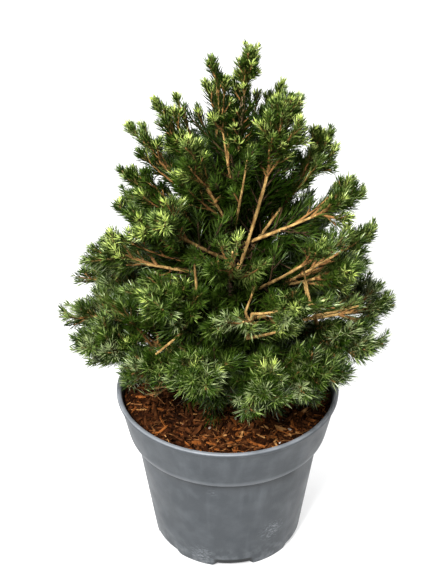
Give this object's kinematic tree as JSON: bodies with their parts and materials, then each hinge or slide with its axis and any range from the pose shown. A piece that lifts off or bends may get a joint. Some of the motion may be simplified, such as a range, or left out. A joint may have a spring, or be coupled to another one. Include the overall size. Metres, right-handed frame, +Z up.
{
  "type": "potted tompa norway spruce",
  "caption": "Dwarf conifer with a dense cone of needled boughs, growing in a tapered round nursery pot filled with bark mulch; it stands on the pot's flat foot.",
  "frame": {"origin": "middle of the pot's flat underside, on the surface that the pot stands on", "axes": "+Z up along the trunk, -Y towards the side shown in the picture, +X to that viewer's right"},
  "size_m": [0.2734, 0.2687, 0.4629],
  "materials": {
    "pot": "dusty matte grey",
    "soil": "rough bark mulch",
    "bark": "rough tan bark",
    "foliage": "waxy green needles"
  },
  "bodies": {
    "root": {"pot": "pot", "soil": "soil", "trunk": "bark", "bough_low_1": "bark", "bough_low_2": "bark", "bough_low_3": "bark", "bough_low_4": "bark", "bough_low_5": "bark", "bough_low_6": "bark", "bough_low_7": "bark", "bough_middle_1": "bark", "bough_middle_2": "bark", "bough_middle_3": "bark", "bough_middle_4": "bark", "bough_upper_1": "bark", "bough_upper_2": "bark", "bough_upper_4": "bark", "bough_upper_8": "bark", "bough_high_1": "bark", "foliage_low_1": "foliage", "foliage_low_1_side": "foliage", "foliage_low_2": "foliage", "foliage_low_2_side": "foliage", "foliage_low_3": "foliage", "foliage_low_3_side": "foliage", "foliage_low_4": "foliage", "foliage_low_4_side": "foliage", "foliage_low_5": "foliage", "foliage_low_5_side": "foliage", "foliage_low_6": "foliage", "foliage_low_6_side": "foliage", "foliage_low_7": "foliage", "foliage_low_7_side": "foliage", "foliage_middle_1": "foliage", "foliage_middle_1_side": "foliage", "foliage_middle_2": "foliage", "foliage_middle_2_side": "foliage", "foliage_middle_3": "foliage", "foliage_middle_4": "foliage", "foliage_middle_5": "foliage", "foliage_middle_6": "foliage", "foliage_middle_7": "foliage", "foliage_upper_1": "foliage", "foliage_upper_2": "foliage", "foliage_upper_3": "foliage", "foliage_upper_4": "foliage", "foliage_upper_5": "foliage", "foliage_upper_6": "foliage", "foliage_upper_7": "foliage", "foliage_upper_8": "foliage", "foliage_high_1": "foliage", "foliage_high_2": "foliage", "foliage_high_3": "foliage", "foliage_high_4": "foliage", "foliage_high_5": "foliage", "foliage_top_1": "foliage", "foliage_top_2": "foliage", "foliage_top_3": "foliage", "foliage_top_4": "foliage", "foliage_leader": "foliage"}
  },
  "joints": []
}
